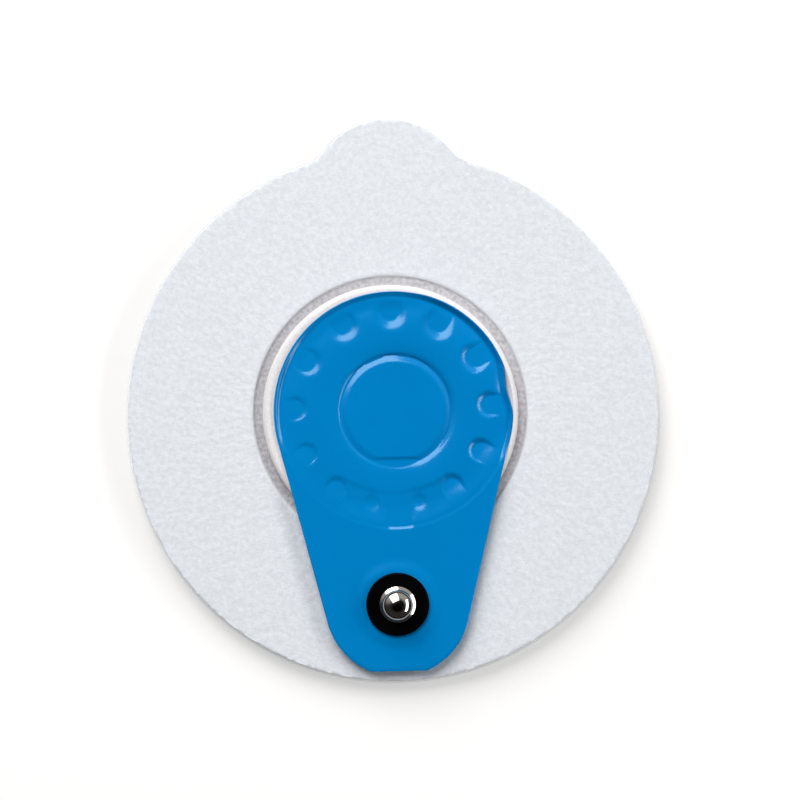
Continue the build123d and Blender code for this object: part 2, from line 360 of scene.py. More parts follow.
# Backing: polyester nonwoven, fibres laid flat and bonded. Soft, matt, faintly clouded white
backing = {
    "holeRadius": 9.7 * mm,
    "weldInner": (foamHigh.x - foamLow.x) / 2,
    "weldRadius": 17.4 * mm,
    "weldDepth": 0.2 * mm,
    "weldSoft": 0.14 * mm,
    "rings": 46,
    "edgeBend": 0.05 * mm,
    "napHeight": 0.05 * mm,
    "napSize": 0.5 * mm,
    "cloth": "#e7ebf0",
    "cloud": "#d9dde2",
    "welded": "#aaa5a8",
    "fibreLength": 0.45 * mm,  # as drawn; the real ones are longer and too fine to show
    "fibreWidth": 0.16 * mm,
    "fibreTurn": 0.3,
    "fibreRange": (0.18, 0.42),
    "grainSize": 0.5 * mm,
    "grainRange": (0.35, 0.65),
    "weldLeast": 0.5,  # how grey the weld is between its grains
    "weldNap": 0.3,
    "napRange": (0.3, 0.7),
    "underRings": (12 * mm, 18 * mm, 24 * mm),
    "seatRings": (15 * mm, 12 * mm),
}
clothMaterial, clothShader, addCloth, clothPlace = startMaterial("polyester_nonwoven", {
    "Roughness": 0.92, "Sheen Weight": 0.15, "Sheen Roughness": 0.6, "Specular IOR Level": 0.2})
# fibres lie every way: three stretched noises, a sixth of a turn apart
fibreLayers = []
for sixth in range(3):
    laid = addCloth("Mapping", {
        "Vector": clothPlace, "Rotation": (0, 0, backing["fibreTurn"] + sixth * pi / 3),
        "Scale": (1 / backing["fibreLength"], 1 / backing["fibreWidth"], 1 / mm)})
    fibreLayers.append(addCloth("TexNoise", {
        "Vector": laid, "Scale": 1.0, "Detail": 2.0, "Roughness": 0.6, "Distortion": 0.5}))
fibrePair = addCloth("Math", fibreLayers[:2], operation="MAXIMUM")
fibreTone = addCloth("Math", [fibrePair, fibreLayers[2]], operation="MAXIMUM")
cloudTone = addCloth("TexNoise", {
    "Vector": clothPlace, "Scale": 1 / backing["napSize"], "Detail": 3.0, "Roughness": 0.6})
clothTone = addCloth("Math", [fibreTone, cloudTone], operation="MULTIPLY")
clothShare = addCloth("MapRange", [clothTone, *backing["fibreRange"]])
clothColour = addCloth("Mix", {
    "Factor": clothShare, "A": linear(backing["cloud"]), "B": linear(backing["cloth"])}, data_type="RGBA")
# the weld presses the fibres into a darker, speckled film
weldPlace = addCloth("Attribute", attribute_name="weld").outputs["Fac"]
weldGrain = addCloth("TexNoise", {"Vector": clothPlace, "Scale": 1 / backing["grainSize"], "Detail": 3.0})
weldShare = addCloth("MapRange", [weldGrain, *backing["grainRange"], backing["weldLeast"], 1.0])
weldShade = addCloth("Math", [weldPlace, weldShare], operation="MULTIPLY")
weldColour = addCloth("Mix", {
    "Factor": weldShade, "A": clothColour, "B": linear(backing["welded"])}, data_type="RGBA")
clothBump = addCloth("Bump", {"Height": clothTone, "Strength": 0.35, "Distance": 0.12 * mm})
feed(clothShader, {"Base Color": weldColour, "Normal": clothBump})

clothColumns, clothNap, clothWeld = [], [], []
weldZ = backingHigh.z - backing["weldDepth"]
hole, bend = backing["holeRadius"], backing["edgeBend"]
seat, soft, inner = backing["weldRadius"], backing["weldSoft"], backing["weldInner"]
for angle in padAngles:
    edge = padReach(angle, 0)
    path = [(r, backingLow.z) for r in (hole, *backing["underRings"], edge - 2 * bend, edge)]
    path += [(edge, backingHigh.z - bend), (edge - bend / 3, backingHigh.z - bend / 3)]
    nap = [0.0] * len(path)
    weld = [0.0] * len(path)
    for step in range(backing["rings"] + 1):
        share = step / backing["rings"]
        path.append((edge - bend + (seat + soft - edge + bend) * share, backingHigh.z))
        nap.append(1.0)
        weld.append(0.0)
    for share in (0.25, 0.5, 0.75, 1.0):  # step down to the weld
        path.append((seat + soft - 2 * soft * share, backingHigh.z - backing["weldDepth"] * share))
        nap.append(1.0 - (1.0 - backing["weldNap"]) * share)
        weld.append(share)
    for r in (0.7 * seat + 0.3 * inner, 0.4 * seat + 0.6 * inner, inner, *backing["seatRings"], hole):
        path.append((r, weldZ))
        nap.append(0.0 if r <= inner else backing["weldNap"])
        weld.append(1.0)
    clothColumns.append([spot(wellAxis, r, angle, z) for r, z in path])
    clothNap += nap
    clothWeld += weld
clothPiece = makePiece("nonwoven_backing", *raysToMesh(clothColumns, True), clothMaterial)
setWeights(clothPiece, "nap", clothNap)
setWeights(clothPiece, "weld", clothWeld)

napTree, addNap, napSize = startTree("nonwovenNap", ["Nap Height", "Nap Size"])
napPlace = addNap("GeometryNodeInputPosition")
napScale = addNap("Math", [1.0, napSize["Nap Size"]], operation="DIVIDE")
napNoise = addNap("TexNoise", {"Vector": napPlace, "Scale": napScale, "Detail": 2.0})
napLift = addNap("MapRange", [napNoise, *backing["napRange"]])
napWeight = addNap("GeometryNodeInputNamedAttribute", {"Name": "nap"}, data_type="FLOAT")
napShare = addNap("Math", [napLift, napWeight], operation="MULTIPLY")
napRise = addNap("Math", [napShare, napSize["Nap Height"]], operation="MULTIPLY")
napMove = addNap("CombineXYZ", {"Z": napRise})
napSet = addNap("GeometryNodeSetPosition", {"Geometry": napSize["Geometry"], "Offset": napMove})
endTree(napTree, napSet, napSize["Material"])
runTree(clothPiece, napTree, {
    "Nap Height": backing["napHeight"], "Nap Size": backing["napSize"], "Material": clothMaterial})
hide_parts("backing")
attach(clothPiece, "root")

# Relief pressed into the cover; the foam and the sponge below take the same shape
relief = {
    "Head Y": headAxis[1],
    "Tray Depth": 0.5 * mm,
    "Tray Rim": 15.05 * mm,
    "Tray X": 0.2 * mm,
    "Tray Wall": 0.46 * mm,
    "Tray Widen": 0.34 * mm,  # the wall leans more where the tray is deepest
    "Wall Power": 1.2,
    "Tray Tilt": 0.5,  # deeper at the upper right, shallower at the lower left
    "Tilt Angle": radians(34),
    "Ring X": 0.3 * mm,  # land and disc sit a little to the right
    "Land Start": 7.1 * mm,
    "Land Crown": 9.8 * mm,
    "Land Rise": 0.42 * mm,
    "Land Sink": 0.45,  # lower over the strip
    "Land Edge": 0.5,  # share of its inner fall that is a crisp edge, and that is a dome
    "Land Dome": 0.4,
    "Edge Power": 16.0,
    "Dome Power": 2.0,
    "Outer Power": 2.5,
    "Sink Inner": 1.5 * mm,  # the sink fades sideways, and starts behind the middle
    "Sink Outer": 4.5 * mm,
    "Sink Start": 3.0 * mm,
    "Sink End": 7.0 * mm,
    "Disc Radius": 6.1 * mm,
    "Disc Wall": 1.1 * mm,
    "Disc Rise": 0.26 * mm,
    "Disc Chord": 5.8 * mm,
    "Chord Wall": 0.5 * mm,
    "Pocket X": -0.1 * mm,
    "Pocket Y": 0.4 * mm,
    "Pocket Pitch": radians(28.5),
    "Pocket Sag": radians(3.2),  # those at the sides sit lower
    "Pocket Circle": 12.5 * mm,
    "Pocket Floor": 1.25 * mm,
    "Pocket Lean": 0.08,  # floors rise towards the tail
    "Pocket Rise": 0.12 * mm,  # pocket's floor above the tray's
    "Pocket Draft": 0.63,  # rise over run of its walls at the near end
    "Pocket Ease": 0.44,  # share of that left at the far end, where they are softest
    "Ease Near": -0.6,  # cosines of the pocket's angle from +Y
    "Ease Far": 0.95,
    "Pocket Last": 5.5,  # pitches from the far one, none past it
    "Strip Width": 4.3 * mm,
    "Strip Thickness": 0.2 * mm,
    "Lane Fill": 0.06 * mm,
    "Step Start": 10.0 * mm,  # the land ends in a step before the tail
    "Step Run": 0.7 * mm,
    "Step Bow": 0.045 / mm,
    "Step Half": 6.5 * mm,
    "Step Inner": -1.0 * mm,  # from its half width
    "Step Outer": 1.0 * mm,
    "Step Dip": 0.14 * mm,
    "Lane Rise": 0.07 * mm,
    "Lane Inner": -0.3 * mm,  # from the strip's side
    "Lane Outer": 0.3 * mm,
    "Corner Side": 3.0 * mm,  # small hollows beside the strip
    "Corner Behind": 11.6 * mm,
    "Corner Dip": 0.16 * mm,
    "Corner Flat": 0.4 * mm,
    "Corner Reach": 1.3 * mm,
    "Apron Start": 11.9 * mm,
    "Apron End": 14.6 * mm,
    "Apron Share": 0.12,  # what is left of the depth at the tail
    "Apron Near": 0.15,  # its sector, in cosines
    "Apron Full": 0.5,
    "Apron Strip": 0.3,  # more depth where the strip crosses
    "Apron X": 0.5 * mm,
    "Apron Inner": 1.4 * mm,
    "Apron Outer": 1.9 * mm,
    "Brow Share": 0.45,  # what is left of the depth at the far rim
    "Brow X": -0.34,  # its direction, left of the middle
    "Brow Y": 0.94,
    "Brow Near": 0.6,  # its sector, in cosines
    "Brow Full": 0.95,
    "Brow Start": 12.8 * mm,
    "Brow End": 14.6 * mm,
    "Snap Y": snapAxis[1],
    "Pad Radius": 4.25 * mm,
    "Pad Run": 1.6 * mm,
    "Softness": 0.18 * mm,
    "Pull In": 0.65 * mm,  # edge drawn in at the right
    "Pull Angle": radians(10),
    "Pull Span": radians(15),
    "Strip Slot": 0.0,
    "Drop": 0.0,
}
reliefTree, press, size = startTree("pressedRelief", relief)


def awayBy(x, y):
    return press("VectorMath", [press("CombineXYZ", [x, y])], operation="LENGTH")


place = press("SeparateXYZ", [press("GeometryNodeInputPosition")]).outputs
across = place["X"]
ahead = press("Math", [place["Y"], size["Head Y"]], operation="SUBTRACT")
behind = press("Math", [ahead, -1.0], operation="MULTIPLY")
sideways = press("Math", [across], operation="ABSOLUTE")
headWay = press("CombineXYZ", [across, ahead])
radius = press("VectorMath", [headWay], operation="LENGTH")
# tray: soft at the foot of its wall, crisp at the rim, deepest towards the tilt
trayAcross = press("Math", [across, size["Tray X"]], operation="SUBTRACT")
trayRadius = awayBy(trayAcross, ahead)
tiltX = press("Math", [size["Tilt Angle"]], operation="COSINE")
tiltY = press("Math", [size["Tilt Angle"]], operation="SINE")
tiltAcross = press("Math", [across, tiltX], operation="MULTIPLY")
tiltAlong = press("Math", [ahead, tiltY, tiltAcross], operation="MULTIPLY_ADD")
tiltPlace = press("Math", [tiltAlong, size["Tray Rim"]], operation="DIVIDE")
tiltShare = press("Math", [tiltPlace, size["Tray Tilt"], 1.0], operation="MULTIPLY_ADD")
tiltUp = press("Math", [tiltPlace, 0.0], operation="MAXIMUM")
tiltMuch = press("Math", [tiltUp, tiltUp], operation="MULTIPLY")
trayWall = press("Math", [tiltMuch, size["Tray Widen"], size["Tray Wall"]], operation="MULTIPLY_ADD")
trayFoot = press("Math", [size["Tray Rim"], trayWall], operation="SUBTRACT")
trayFloor = press("Math", [size["Tray Depth"], -1.0], operation="MULTIPLY")
trayShare = press("MapRange", [trayRadius, trayFoot, size["Tray Rim"]])
traySoft = press("Math", [trayShare, size["Wall Power"]], operation="POWER")
tray = press("Math", [traySoft, size["Tray Depth"], trayFloor], operation="MULTIPLY_ADD")
# land: a broad ring, domed from the groove to the tray's foot
ringAcross = press("Math", [across, size["Ring X"]], operation="SUBTRACT")
ringRadius = awayBy(ringAcross, ahead)
landOff = press("Math", [ringRadius, size["Land Crown"]], operation="SUBTRACT")
landInner = press("Math", [size["Land Start"], size["Land Crown"]], operation="SUBTRACT")
landOuter = press("Math", [trayFoot, size["Land Crown"]], operation="SUBTRACT")
landIn = press("Math", [landOff, landInner], operation="DIVIDE")
landOut = press("Math", [landOff, landOuter], operation="DIVIDE")
landFlank = press("Math", [landIn, 0.0], operation="MAXIMUM")
landCrisp = press("Math", [landFlank, size["Edge Power"]], operation="POWER")
landSoft = press("Math", [landFlank, size["Dome Power"]], operation="POWER")
landBow = press("Math", [landSoft, size["Land Dome"]], operation="MULTIPLY")
landSteep = press("Math", [landCrisp, size["Land Edge"], landBow], operation="MULTIPLY_ADD")
landSlope = press("Math", [landOut, 0.0], operation="MAXIMUM")
landRound = press("Math", [landSlope, size["Outer Power"]], operation="POWER")
landFall = press("Math", [landSteep, landRound], operation="ADD")
landDome = press("Math", [1.0, landFall], operation="SUBTRACT", use_clamp=True)
landNear = press("MapRange", [
    sideways, size["Sink Inner"], size["Sink Outer"], size["Land Sink"], 0.0], **eased)
landBehind = press("MapRange", [behind, size["Sink Start"], size["Sink End"], 0.0, -1.0], **eased)
landKept = press("Math", [landNear, landBehind, 1.0], operation="MULTIPLY_ADD")
landRing = press("Math", [landDome, landKept], operation="MULTIPLY")
landed = press("Math", [landRing, size["Land Rise"], tray], operation="MULTIPLY_ADD")
# disc over the sensor, cut straight where the strip leaves it
chordShare = press("Math", [size["Disc Wall"], size["Chord Wall"]], operation="DIVIDE")
chordPast = press("Math", [behind, size["Disc Chord"]], operation="SUBTRACT")
chordFar = press("Math", [chordPast, chordShare, size["Disc Radius"]], operation="MULTIPLY_ADD")
discFar = press("Math", [ringRadius, chordFar], operation="MAXIMUM")
discFoot = press("Math", [size["Disc Radius"], size["Disc Wall"]], operation="ADD")
disc = press("MapRange", [discFar, size["Disc Radius"], discFoot, size["Disc Rise"], 0.0], **eased)
ringed = press("Math", [landed, disc], operation="ADD")
# lane: the strip bridges the groove and lowers the land
laneLevel = press("Math", [trayFloor, size["Lane Fill"]], operation="ADD")
stripHalf = press("Math", [size["Strip Width"], 0.5], operation="MULTIPLY")
stripOut = press("Math", [sideways, stripHalf], operation="SUBTRACT")
stripOver = press("MapRange", [stripOut, 0.0, size["Disc Wall"], 1.0, 0.0], **eased)
isBehind = press("Math", [behind, 0.0], operation="GREATER_THAN")
bridgeMask = press("Math", [stripOver, isBehind], operation="MULTIPLY")
bridgeShort = press("Math", [laneLevel, ringed], operation="SUBTRACT")
bridgeFill = press("Math", [bridgeShort, 0.0], operation="MAXIMUM")
bridged = press("Math", [bridgeFill, bridgeMask, ringed], operation="MULTIPLY_ADD")
# the land's step before the tail, bowed, with the strip a little raised in it
stepBow = press("Math", [across, across], operation="MULTIPLY")
stepAt = press("Math", [stepBow, size["Step Bow"], behind], operation="MULTIPLY_ADD")
stepEnd = press("Math", [size["Step Start"], size["Step Run"]], operation="ADD")
stepDown = press("MapRange", [stepAt, size["Step Start"], stepEnd, 0.0, -1.0], **eased)
stepSide = press("Math", [sideways, size["Step Half"]], operation="SUBTRACT")
stepOver = press("MapRange", [
    stepSide, size["Step Inner"], size["Step Outer"], size["Step Dip"], 0.0], **eased)
laneOver = press("MapRange", [
    stripOut, size["Lane Inner"], size["Lane Outer"], size["Lane Rise"], 0.0], **eased)
stepDip = press("Math", [stepOver, laneOver], operation="SUBTRACT")
laned = press("Math", [stepDip, stepDown, bridged], operation="MULTIPLY_ADD")
cornerSide = press("Math", [sideways, size["Corner Side"]], operation="SUBTRACT")
cornerAlong = press("Math", [behind, size["Corner Behind"]], operation="SUBTRACT")
cornerFar = awayBy(cornerSide, cornerAlong)
cornerDip = press("MapRange", [
    cornerFar, size["Corner Flat"], size["Corner Reach"], size["Corner Dip"], 0.0], **eased)
hollowed = press("Math", [laned, cornerDip], operation="SUBTRACT")
# pockets: one, repeated round the well by wrapping the angle from +Y, open to the tray's wall
wellX = press("Math", [across, size["Pocket X"]], operation="SUBTRACT")
wellY = press("Math", [place["Y"], size["Pocket Y"]], operation="SUBTRACT")
wellRadius = awayBy(wellX, wellY)
trueAngle = press("Math", [wellX, wellY], operation="ARCTAN2")
sagSide = press("Math", [trueAngle], operation="SINE")
sagMuch = press("Math", [sagSide], operation="ABSOLUTE")
sagShare = press("Math", [sagSide, sagMuch], operation="MULTIPLY")
sagTurn = press("Math", [sagShare, size["Pocket Sag"]], operation="MULTIPLY")
wellAngle = press("Math", [trueAngle, sagTurn], operation="SUBTRACT")
halfPitch = press("Math", [size["Pocket Pitch"], 0.5], operation="MULTIPLY")
lessPitch = press("Math", [size["Pocket Pitch"], -0.5], operation="MULTIPLY")
pocketAngle = press("Math", [wellAngle, halfPitch, lessPitch], operation="WRAP")
pocketCos = press("Math", [pocketAngle], operation="COSINE")
pocketSin = press("Math", [pocketAngle], operation="SINE")
pocketAlong = press("Math", [wellRadius, pocketCos], operation="MULTIPLY")
pocketOff = press("Math", [pocketAlong, size["Pocket Circle"]], operation="SUBTRACT")
pocketIn = press("Math", [pocketOff, 0.0], operation="MINIMUM")
pocketSide = press("Math", [wellRadius, pocketSin], operation="MULTIPLY")
pocketFar = awayBy(pocketIn, pocketSide)
wellTurn = press("Math", [wellAngle], operation="ABSOLUTE")
lastPocket = press("Math", [size["Pocket Pitch"], size["Pocket Last"]], operation="MULTIPLY")
pastPockets = press("Math", [wellTurn, lastPocket], operation="GREATER_THAN")
pocketFree = press("Math", [pocketFar, pastPockets], operation="ADD")
pocketGap = press("Math", [pocketFree, size["Pocket Floor"]], operation="SUBTRACT")
pocketClear = press("Math", [pocketGap, 0.0], operation="MAXIMUM")
pocketAt = press("Math", [wellAngle, pocketAngle], operation="SUBTRACT")
pocketNorth = press("Math", [pocketAt], operation="COSINE")
pocketHigh = press("Math", [pocketNorth, size["Pocket Circle"]], operation="MULTIPLY")
pocketDown = press("Math", [pocketHigh, wellY], operation="SUBTRACT")
pocketLean = press("MapRange", [pocketNorth, -1.0, 1.0, size["Pocket Lean"], 0.0])
pocketTilt = press("Math", [pocketDown, pocketLean, size["Pocket Rise"]], operation="MULTIPLY_ADD")
pocketFloor = press("Math", [tray, pocketTilt], operation="ADD")
pocketEase = press("MapRange", [pocketNorth, size["Ease Near"], size["Ease Far"], 1.0, size["Pocket Ease"]])
pocketSteep = press("Math", [pocketEase, size["Pocket Draft"]], operation="MULTIPLY")
pocketWall = press("Math", [pocketClear, pocketSteep, pocketFloor], operation="MULTIPLY_ADD")
pocketed = press("Math", [hollowed, pocketWall, size["Softness"]], operation="SMOOTH_MIN")
# apron: the tray grows shallow towards the tail, less so over the strip
apronWay = press("Math", [behind, radius], operation="DIVIDE")
apronSector = press("MapRange", [apronWay, size["Apron Near"], size["Apron Full"]], **eased)
apronRing = press("MapRange", [radius, size["Apron Start"], size["Apron End"]], **eased)
apron = press("Math", [apronSector, apronRing], operation="MULTIPLY")
apronMiddle = press("Math", [across, size["Apron X"]], operation="SUBTRACT")
apronAway = press("Math", [apronMiddle], operation="ABSOLUTE")
apronStrip = press("MapRange", [
    apronAway, size["Apron Inner"], size["Apron Outer"], size["Apron Strip"], 0.0], **eased)
apronLeft = press("Math", [apronStrip, size["Apron Share"]], operation="ADD")
apronShare = press("MapRange", [apron, 0.0, 1.0, 1.0, apronLeft])
browAcross = press("Math", [across, size["Brow X"]], operation="MULTIPLY")
browAlong = press("Math", [ahead, size["Brow Y"], browAcross], operation="MULTIPLY_ADD")
browWay = press("Math", [browAlong, radius], operation="DIVIDE")
browSector = press("MapRange", [browWay, size["Brow Near"], size["Brow Full"]], **eased)
browRing = press("MapRange", [radius, size["Brow Start"], size["Brow End"]], **eased)
brow = press("Math", [browSector, browRing], operation="MULTIPLY")
browShare = press("MapRange", [brow, 0.0, 1.0, 1.0, size["Brow Share"]])
rimShare = press("Math", [apronShare, browShare], operation="MULTIPLY")
depthShare = press("Math", [rimShare, tiltShare], operation="MULTIPLY")
aproned = press("Math", [pocketed, depthShare], operation="MULTIPLY")
# raised seat under the snap
snapAhead = press("Math", [place["Y"], size["Snap Y"]], operation="SUBTRACT")
snapFar = awayBy(across, snapAhead)
padEdge = press("Math", [size["Pad Radius"], size["Pad Run"]], operation="ADD")
padRise = press("MapRange", [snapFar, size["Pad Radius"], padEdge, size["Strip Thickness"], 0.0], **eased)
height = press("Math", [aproned, padRise], operation="ADD")
# what lies below leaves room for the strip and the sensor's disc
stripSide = press("Math", [stripOut, 0.0], operation="LESS_THAN")
stripLane = press("Math", [stripSide, isBehind], operation="MULTIPLY")
stripDisc = press("Math", [radius, size["Disc Radius"]], operation="LESS_THAN")
stripMask = press("Math", [stripLane, stripDisc], operation="MAXIMUM")
stripDrop = press("Math", [stripMask, size["Strip Slot"], size["Drop"]], operation="MULTIPLY_ADD")
level = press("Math", [height, stripDrop], operation="SUBTRACT")
# edge drawn in on one side, as on a film that shrank a little
headAngle = press("Math", [ahead, across], operation="ARCTAN2")
pullOff = press("Math", [headAngle, size["Pull Angle"]], operation="SUBTRACT")
pullTurn = press("Math", [pullOff], operation="ABSOLUTE")
pullAround = press("MapRange", [pullTurn, 0.0, size["Pull Span"], size["Pull In"], 0.0], **eased)
pullOut = press("MapRange", [radius, size["Pocket Circle"], size["Tray Rim"], 0.0, -1.0], **eased)
pull = press("Math", [pullAround, pullOut], operation="MULTIPLY")
headUnit = press("VectorMath", [headWay], operation="NORMALIZE")
pullMove = press("VectorMath", {"Vector": headUnit, "Scale": pull}, operation="SCALE")
pressMove = press("CombineXYZ", {"Z": level})
move = press("VectorMath", [pullMove, pressMove], operation="ADD")
pressed = press("GeometryNodeInputNamedAttribute", {"Name": "pressed"}, data_type="FLOAT")
moveShare = press("VectorMath", {"Vector": move, "Scale": pressed}, operation="SCALE")
moved = press("GeometryNodeSetPosition", {"Geometry": size["Geometry"], "Offset": moveShare})
endTree(reliefTree, moved, size["Material"])
print("relief tree built", len(reliefTree.nodes), "nodes")

# Cover: blue polyethylene film, thermoformed and die cut. Satin gloss, knurled where it was pressed
cover = {
    "thickness": 0.3 * mm,
    "tipRadius": 9.2 * mm,
    "join": 15.08 * mm,  # rings follow the head up to here
    "rays": 600,
    "bands": ((0.0, 5.6, 3), (5.6, 7.5, 12), (7.5, 10.0, 6), (10.0, 14.4, 18), (14.4, 15.08, 8)),  # mm, rings
    "tailRings": 60,
    "rimRings": 2,
    "tailFrom": 0.3 * mm,  # rays that reach this far past the head belong to the tail
    "holeRadius": 1.35 * mm,
    "rolledEdge": 0.08 * mm,
    "blue": "#0083c8",
    "deepBlue": "#007dc2",
    "gleam": "#d8f4ff",
    "cloudSize": 6 * mm,
    "grainSize": 0.3 * mm,
    "knurlPitch": 0.3 * mm,
    "knurlBand": (7.6 * mm, 14.2 * mm),
}
filmMaterial, filmShader, addFilm, filmPlace = startMaterial("blue_polyethylene_film", {
    "Roughness": 0.17, "IOR": 1.5, "Specular Tint": linear(cover["gleam"])})
filmCloud = addFilm("TexNoise", {"Vector": filmPlace, "Scale": 1 / cover["cloudSize"], "Detail": 2.0})
filmColour = addFilm("Mix", {
    "Factor": filmCloud, "A": linear(cover["blue"]), "B": linear(cover["deepBlue"])}, data_type="RGBA")
# diamond knurl of the forming tool, two crossed waves
knurlWay = addFilm("SeparateXYZ", [filmPlace]).outputs
knurlTurns = 2 * pi / (cover["knurlPitch"] * sqrt(2))
knurlWaves = []
for crossing in ("ADD", "SUBTRACT"):
    diagonal = addFilm("Math", [knurlWay["X"], knurlWay["Y"]], operation=crossing)
    phase = addFilm("Math", [diagonal, knurlTurns], operation="MULTIPLY")
    knurlWaves.append(addFilm("Math", [phase], operation="COSINE"))
knurl = addFilm("Math", knurlWaves, operation="ADD")
knurlPlace = addFilm("Attribute", attribute_name="knurled").outputs["Fac"]
knurlShare = addFilm("Math", [knurl, knurlPlace], operation="MULTIPLY")
knurlBump = addFilm("Bump", {"Height": knurlShare, "Strength": 0.15, "Distance": 0.01 * mm})
grain = addFilm("TexNoise", {"Vector": filmPlace, "Scale": 1 / cover["grainSize"], "Detail": 2.0})
grainBump = addFilm("Bump", {
    "Height": grain, "Strength": 0.1, "Distance": 0.02 * mm, "Normal": knurlBump})
feed(filmShader, {"Base Color": filmColour, "Normal": grainBump})

snapReach = headAxis[1] - snapAxis[1]
tipReach = headAxis[1] - coverLow.y
sideTurn = acos((headRadius - cover["tipRadius"]) / snapReach)  # from -Y to where the tail leaves the head


def coverReach(angle):
    away = abs(atan2(cos(angle), -sin(angle)))  # from -Y
    if away >= sideTurn:
        return headRadius
    tipTurn = atan2(cover["tipRadius"] * sin(sideTurn), snapReach + cover["tipRadius"] * cos(sideTurn))
    if away > tipTurn:
        return headRadius / cos(sideTurn - away)
    tipFar = snapReach * cos(away) + sqrt(cover["tipRadius"] ** 2 - (snapReach * sin(away)) ** 2)
    return min(tipFar, tipReach / cos(away))


rayAngles = [-pi / 2 + 2 * pi * i / cover["rays"] for i in range(cover["rays"])]
ringRadii = [
    (start + (end - start) * (step + 1) / count) * mm
    for start, end, count in cover["bands"] for step in range(count)]
filmTop = coverHigh.z - relief["Strip Thickness"]  # level of the rim and the tail
filmPoints = [(*headAxis, filmTop)]
filmRolled = [0.0]
for r in ringRadii:
    filmPoints += [spot(headAxis, r, angle, filmTop) for angle in rayAngles]
    filmRolled += [0.0] * cover["rays"]
outer = []  # point numbers beyond the join, ray by ray
for angle in rayAngles:
    end = coverReach(angle)
    count = cover["tailRings"] if end > headRadius + cover["tailFrom"] else cover["rimRings"]
    outer.append([])
    for step in range(1, count + 1):
        r = cover["join"] + (end - cover["join"]) * step / count
        outer[-1].append(len(filmPoints))
        filmPoints.append(spot(headAxis, r, angle, filmTop))
        filmRolled.append(1.0 if step == count else 0.0)
filmFaces = []
lastRing = 1 + (len(ringRadii) - 1) * cover["rays"]
for i in range(cover["rays"]):
    k = (i + 1) % cover["rays"]
    filmFaces.append((0, 1 + i, 1 + k))
    for j in range(len(ringRadii) - 1):
        a, b = 1 + j * cover["rays"], 1 + (j + 1) * cover["rays"]
        filmFaces.append((a + i, b + i, b + k, a + k))
    left, right = [lastRing + i] + outer[i], [lastRing + k] + outer[k]
    if len(left) == len(right):
        filmFaces += [(left[j], left[j + 1], right[j + 1], right[j]) for j in range(len(left) - 1)]
    else:
        filmFaces.append((*left, *reversed(right)))
# hole for the snap's post
holeFaces = []
for face in filmFaces:
    middle = sum((Vector(filmPoints[i]) for i in face), Vector()) / len(face)
    if hypot(middle.x - snapAxis[0], middle.y - snapAxis[1]) < cover["holeRadius"]:
        holeFaces.append(face)
filmFaces = [face for face in filmFaces if face not in set(holeFaces)]
for i in {i for face in holeFaces for i in face}:
    way = Vector(filmPoints[i][:2]) - Vector(snapAxis)
    if way.length > 0:
        way = way.normalized() * cover["holeRadius"]
    filmPoints[i] = (snapAxis[0] + way.x, snapAxis[1] + way.y, filmTop)
usedPoints = sorted({i for face in filmFaces for i in face})
newNumber = {old: new for new, old in enumerate(usedPoints)}
filmFaces = [tuple(newNumber[i] for i in face) for face in filmFaces]
filmPoints = [filmPoints[i] for i in usedPoints]
filmRolled = [filmRolled[i] for i in usedPoints]
filmPoints = [(x, y, z - cover["rolledEdge"] * roll) for (x, y, z), roll in zip(filmPoints, filmRolled)]

filmPiece = makePiece("cover_film", filmPoints, filmFaces, filmMaterial)
setWeights(filmPiece, "pressed", [1.0] * len(filmPoints))
knurlStart, knurlEnd = cover["knurlBand"]
setWeights(filmPiece, "knurled", [
    float(knurlStart < hypot(x - headAxis[0], y - headAxis[1]) < knurlEnd) for x, y, z in filmPoints])
runTree(filmPiece, reliefTree, relief | {"Material": filmMaterial})
wall = filmPiece.modifiers.new("film", "SOLIDIFY")
wall.thickness = cover["thickness"] - cover["rolledEdge"]
wall.offset = -1
settle(filmPiece)
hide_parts("cover")
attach(filmPiece, "root")
print("cover done", len(filmPiece.data.polygons), "faces")

# Foam ring: white closed-cell polyethylene foam, die cut. Matt, softly rounded, tiny cells
foam = {
    "innerRadius": backing["holeRadius"],
    "outerRadius": (foamHigh.x - foamLow.x) / 2,
    "shoulder": 0.8 * mm,
    "shoulderRun": 1.5,  # shoulders in from the side, where the flat top starts
    "footBend": 0.05 * mm,
    "rays": 480,
    "rings": 44,
    "clearance": 0.01 * mm,
    "white": "#eeecec",
    "shade": "#e0dddd",
    "cellSize": 0.3 * mm,  # drawn coarser than the real cells so that it shows
}
foamMaterial, foamShader, addFoam, foamPlace = startMaterial("polyethylene_foam_white", {
    "Roughness": 0.75, "Specular IOR Level": 0.3})
foamCells = addFoam("TexVoronoi", {"Vector": foamPlace, "Scale": 1 / foam["cellSize"]})
foamColour = addFoam("Mix", {
    "Factor": foamCells, "A": linear(foam["white"]), "B": linear(foam["shade"])}, data_type="RGBA")
foamBump = addFoam("Bump", {"Height": foamCells, "Strength": 0.3, "Distance": 0.05 * mm})
feed(foamShader, {"Base Color": foamColour, "Normal": foamBump})

